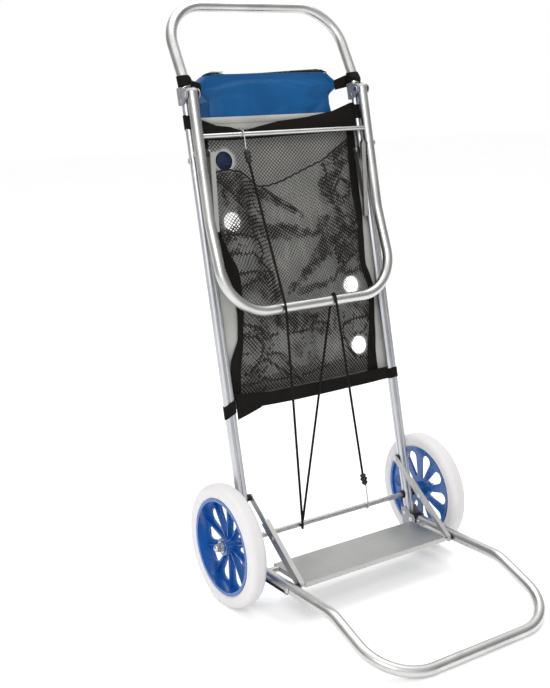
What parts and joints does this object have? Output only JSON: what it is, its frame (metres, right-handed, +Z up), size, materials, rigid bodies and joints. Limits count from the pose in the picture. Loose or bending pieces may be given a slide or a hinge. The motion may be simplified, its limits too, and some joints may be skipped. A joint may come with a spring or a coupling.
{
  "type": "folding beach trolley",
  "caption": "Folding two-wheel beach trolley with a leaning frame, fold-down foot and tray, swing-out table leg, mesh pocket, cooler pouch and bungee cord.",
  "frame": {"origin": "centre of the footprint box, on the ground", "axes": "+Z up, X along the axle, -Y towards the foot, +Y towards the handle"},
  "size_m": [0.569, 0.741, 1.1844],
  "materials": {
    "aluminium_tube": "drawn, satin",
    "rail_aluminium": "extruded, satin",
    "sheet_aluminium": "rolled, matt",
    "grey_bracket": "die cast, satin grey",
    "steel": "zinc plated",
    "black_plastic": "moulded",
    "grey_plastic": "moulded",
    "white_tyre": "foamed, satin",
    "blue_hub": "moulded gloss",
    "silver_cloth": "coated polyester",
    "black_mesh": "open polyester net",
    "black_webbing": "woven webbing",
    "blue_cooler": "coated polyester",
    "zip_tape": "zip tape",
    "bungee": "braided sleeve"
  },
  "bodies": {
    "frame": {"axle": "steel", "axle_grommets": "black_plastic", "axle_washers": "steel", "bag_bands": "black_webbing", "brace_rail_pins": "steel", "brace_rail_spacers": "black_plastic", "bracket_rivets": "steel", "bungee_cord": "bungee", "bungee_hook_lower": "steel", "bungee_knob_lower": "black_plastic", "cap_nuts": "steel", "cloth_keders": "silver_cloth", "cloth_trim": "silver_cloth", "cooler": "blue_cooler", "cooler_straps": "black_webbing", "foot_brackets": "grey_bracket", "handle": "aluminium_tube", "handle_joiners": "black_plastic", "mesh_bag": "black_mesh", "pivot_pins": "steel", "pivot_washers": "black_plastic", "rail_end_caps": "black_plastic", "rail_left": "rail_aluminium", "rail_right": "rail_aluminium", "table_cloth": "silver_cloth", "top_brackets": "grey_bracket", "wheel_spacers": "black_plastic", "zip_tape": "zip_tape"},
    "leg": {"leg_tube": "aluminium_tube", "leg_end_caps": "grey_plastic", "leg_spreader_rod": "aluminium_tube", "leg_brace_tube_pins": "steel", "leg_brace_tube_spacers": "black_plastic", "bungee_hook_upper": "steel", "bungee_knob_upper": "black_plastic"},
    "leg_channels": {"leg_brace_channel_left": "sheet_aluminium", "leg_brace_channel_right": "sheet_aluminium", "leg_brace_channel_studs": "steel"},
    "leg_straps": {"leg_brace_strap_left": "sheet_aluminium", "leg_brace_strap_right": "sheet_aluminium", "leg_brace_elbow_pins": "steel"},
    "foot": {"foot_tube": "aluminium_tube", "foot_plugs": "black_plastic", "foot_tray": "sheet_aluminium", "foot_rub_strips": "black_plastic", "foot_brace_tube_pins": "steel", "foot_brace_tube_spacers": "black_plastic", "tray_bolts": "steel"},
    "foot_channels": {"foot_brace_channel_left": "sheet_aluminium", "foot_brace_channel_right": "sheet_aluminium"},
    "foot_straps": {"foot_brace_strap_left": "sheet_aluminium", "foot_brace_strap_right": "sheet_aluminium", "foot_brace_strap_pins": "steel"},
    "wheel_left": {"tyre_left": "white_tyre", "hub_left": "blue_hub", "hub_bush_left": "black_plastic"},
    "wheel_right": {"tyre_right": "white_tyre", "hub_right": "blue_hub", "hub_bush_right": "black_plastic"},
    "zip": {"zip_slider": "steel"}
  },
  "joints": [
    {"name": "foot_fold", "type": "hinge", "parent": "frame", "child": "foot", "pos_m": [0, 0.07054, 0.0759], "axis": [-1, 0, 0], "range_deg": [0, 101], "deforming": ["bungee_cord"]},
    {"name": "foot_channel_turn", "type": "hinge", "parent": "foot", "child": "foot_channels", "pos_m": [0, -0.05546, 0.0759], "axis": [1, 0, 0], "range_deg": [0, 138]},
    {"name": "foot_strap_turn", "type": "hinge", "parent": "foot_channels", "child": "foot_straps", "pos_m": [0, 0.03454, 0.14368], "axis": [-1, 0, 0], "range_deg": [0, 169.1]},
    {"name": "leg_open", "type": "hinge", "parent": "frame", "child": "leg", "pos_m": [0, 0.25048, 1.00158], "axis": [-1, 0, 0], "range_deg": [0, 105], "deforming": ["bungee_cord"]},
    {"name": "leg_strap_turn", "type": "hinge", "parent": "frame", "child": "leg_straps", "pos_m": [0, 0.24618, 0.87202], "axis": [-1, 0, 0], "range_deg": [0, 136.1]},
    {"name": "leg_channel_turn", "type": "hinge", "parent": "leg_straps", "child": "leg_channels", "pos_m": [0, 0.21973, 0.77714], "axis": [1, 0, 0], "range_deg": [0, 167.4]},
    {"name": "wheel_left_spin", "type": "hinge", "parent": "frame", "child": "wheel_left", "pos_m": [-0.2535, 0.10097, 0.125], "axis": [1, 0, 0], "continuous": true},
    {"name": "wheel_right_spin", "type": "hinge", "parent": "frame", "child": "wheel_right", "pos_m": [0.2535, 0.10097, 0.125], "axis": [1, 0, 0], "continuous": true},
    {"name": "zip_slide", "type": "slide", "parent": "frame", "child": "zip", "axis": [1, 0, 0], "range_m": [0, 0.225]}
  ],
  "couplings": [
    {"joint": "foot_channel_turn", "follows": "foot_fold", "ratio": 1.3655},
    {"joint": "foot_strap_turn", "follows": "foot_fold", "ratio": 1.6737},
    {"joint": "leg_channel_turn", "follows": "leg_open", "ratio": 1.5931},
    {"joint": "leg_strap_turn", "follows": "leg_open", "ratio": 1.2948}
  ]
}
